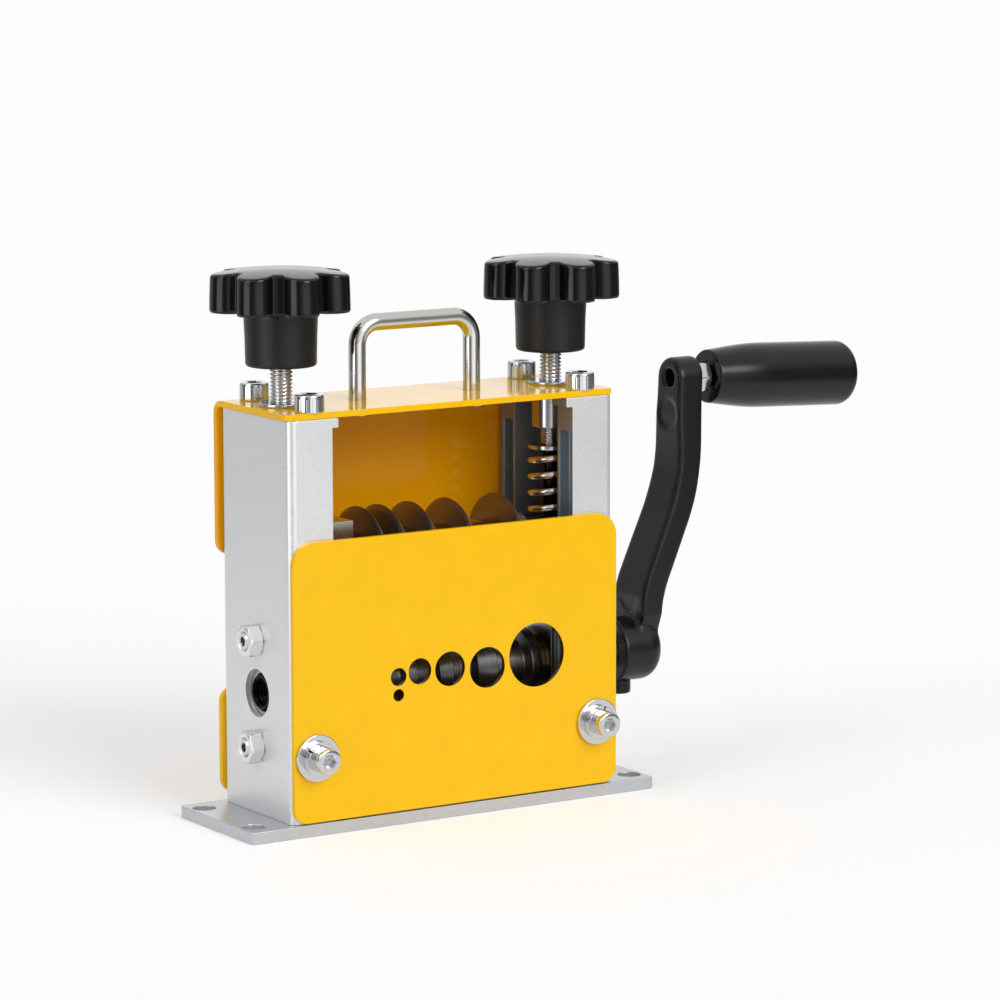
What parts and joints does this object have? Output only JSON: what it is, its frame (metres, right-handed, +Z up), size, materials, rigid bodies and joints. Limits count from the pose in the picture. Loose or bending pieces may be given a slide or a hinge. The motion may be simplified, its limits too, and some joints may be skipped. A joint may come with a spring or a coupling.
{
  "type": "hand crank wire stripper",
  "caption": "Bench wire stripper: two columns carry round blades over a crank-driven grooved roller, with star knobs that set the blade height and feed holes in a front plate.",
  "frame": {"origin": "centre of the base plate's underside, in the middle of its four mounting holes", "axes": "+X along the base to the crank, -Y to the operator in front, +Z up"},
  "size_m": [0.2592, 0.0656, 0.1874],
  "materials": {
    "textured_aluminium": "satin, fine grained",
    "yellow_paint": "satin powder coat",
    "zinc_fasteners": "bright zinc",
    "machined_steel": "turned and ground",
    "stainless_rod": "polished",
    "spring_steel": "bright wire",
    "blade_steel": "ground, dark",
    "bronze": "turned",
    "black_crank": "satin black coat",
    "black_screw": "black oxide",
    "black_knob": "glossy",
    "black_grip": "satin to glossy"
  },
  "bodies": {
    "frame": {"base_plate": "textured_aluminium", "left_column": "textured_aluminium", "right_column": "textured_aluminium", "foot_screws": "zinc_fasteners", "front_plate": "yellow_paint", "front_flat_washers": "zinc_fasteners", "front_spring_washers": "zinc_fasteners", "front_screws": "zinc_fasteners", "rear_plate": "yellow_paint", "rear_screws": "zinc_fasteners", "top_cover": "yellow_paint", "cover_screws": "zinc_fasteners", "carry_handle": "stainless_rod", "handle_nuts": "zinc_fasteners", "left_threaded_bush": "machined_steel", "right_threaded_bush": "machined_steel", "left_lower_block": "machined_steel", "right_lower_block": "machined_steel", "left_lower_bush": "bronze", "right_lower_bush": "bronze", "block_studs": "machined_steel", "stud_nuts": "zinc_fasteners"},
    "carriage": {"left_upper_block": "machined_steel", "right_upper_block": "machined_steel", "left_upper_bush": "bronze", "right_upper_bush": "bronze", "left_spring": "spring_steel", "right_spring": "spring_steel", "retaining_pins": "machined_steel"},
    "left_adjuster": {"left_adjuster_screw": "zinc_fasteners", "left_spring_collar": "zinc_fasteners", "left_knob": "black_knob"},
    "right_adjuster": {"right_adjuster_screw": "zinc_fasteners", "right_spring_collar": "zinc_fasteners", "right_knob": "black_knob"},
    "blade_set": {"blade_shaft": "machined_steel", "blade_1": "blade_steel", "blade_2": "blade_steel", "blade_3": "blade_steel", "blade_4": "blade_steel", "blade_5": "blade_steel", "spacer_1": "machined_steel", "spacer_2": "machined_steel", "spacer_3": "machined_steel", "spacer_4": "machined_steel", "spacer_5": "machined_steel", "shaft_lock_nut": "zinc_fasteners"},
    "crank": {"drive_shaft": "machined_steel", "drive_roller": "machined_steel", "roller_pin": "machined_steel", "crank_arm": "black_crank", "crank_clamp_screw": "black_screw", "grip_nut": "zinc_fasteners", "grip_bolt": "zinc_fasteners"},
    "grip": {"grip": "black_grip"}
  },
  "joints": [
    {"name": "crank_turn", "type": "hinge", "parent": "frame", "child": "crank", "pos_m": [0.078, 0, 0.0453], "axis": [1, 0, 0], "continuous": true},
    {"name": "grip_spin", "type": "hinge", "parent": "crank", "child": "grip", "pos_m": [0.10894, 0, 0.1396], "axis": [0.999, 0, -0.0454], "continuous": true},
    {"name": "blade_lift", "type": "slide", "parent": "frame", "child": "carriage", "axis": [0, 0, 1], "range_m": [-0.008, 0.005]},
    {"name": "blade_spin", "type": "hinge", "parent": "carriage", "child": "blade_set", "pos_m": [0, 0, 0.0854], "axis": [1, 0, 0], "continuous": true},
    {"name": "left_knob_turn", "type": "hinge", "parent": "carriage", "child": "left_adjuster", "pos_m": [-0.0533, 0, 0.15], "axis": [0, 0, 1], "range_deg": [-2304, 1440]},
    {"name": "right_knob_turn", "type": "hinge", "parent": "carriage", "child": "right_adjuster", "pos_m": [0.0533, 0, 0.15], "axis": [0, 0, 1], "range_deg": [-2304, 1440]}
  ],
  "couplings": [
    {"joint": "left_knob_turn", "follows": "blade_lift", "rad_per_m": 5026.5},
    {"joint": "right_knob_turn", "follows": "blade_lift", "rad_per_m": 5026.5}
  ]
}
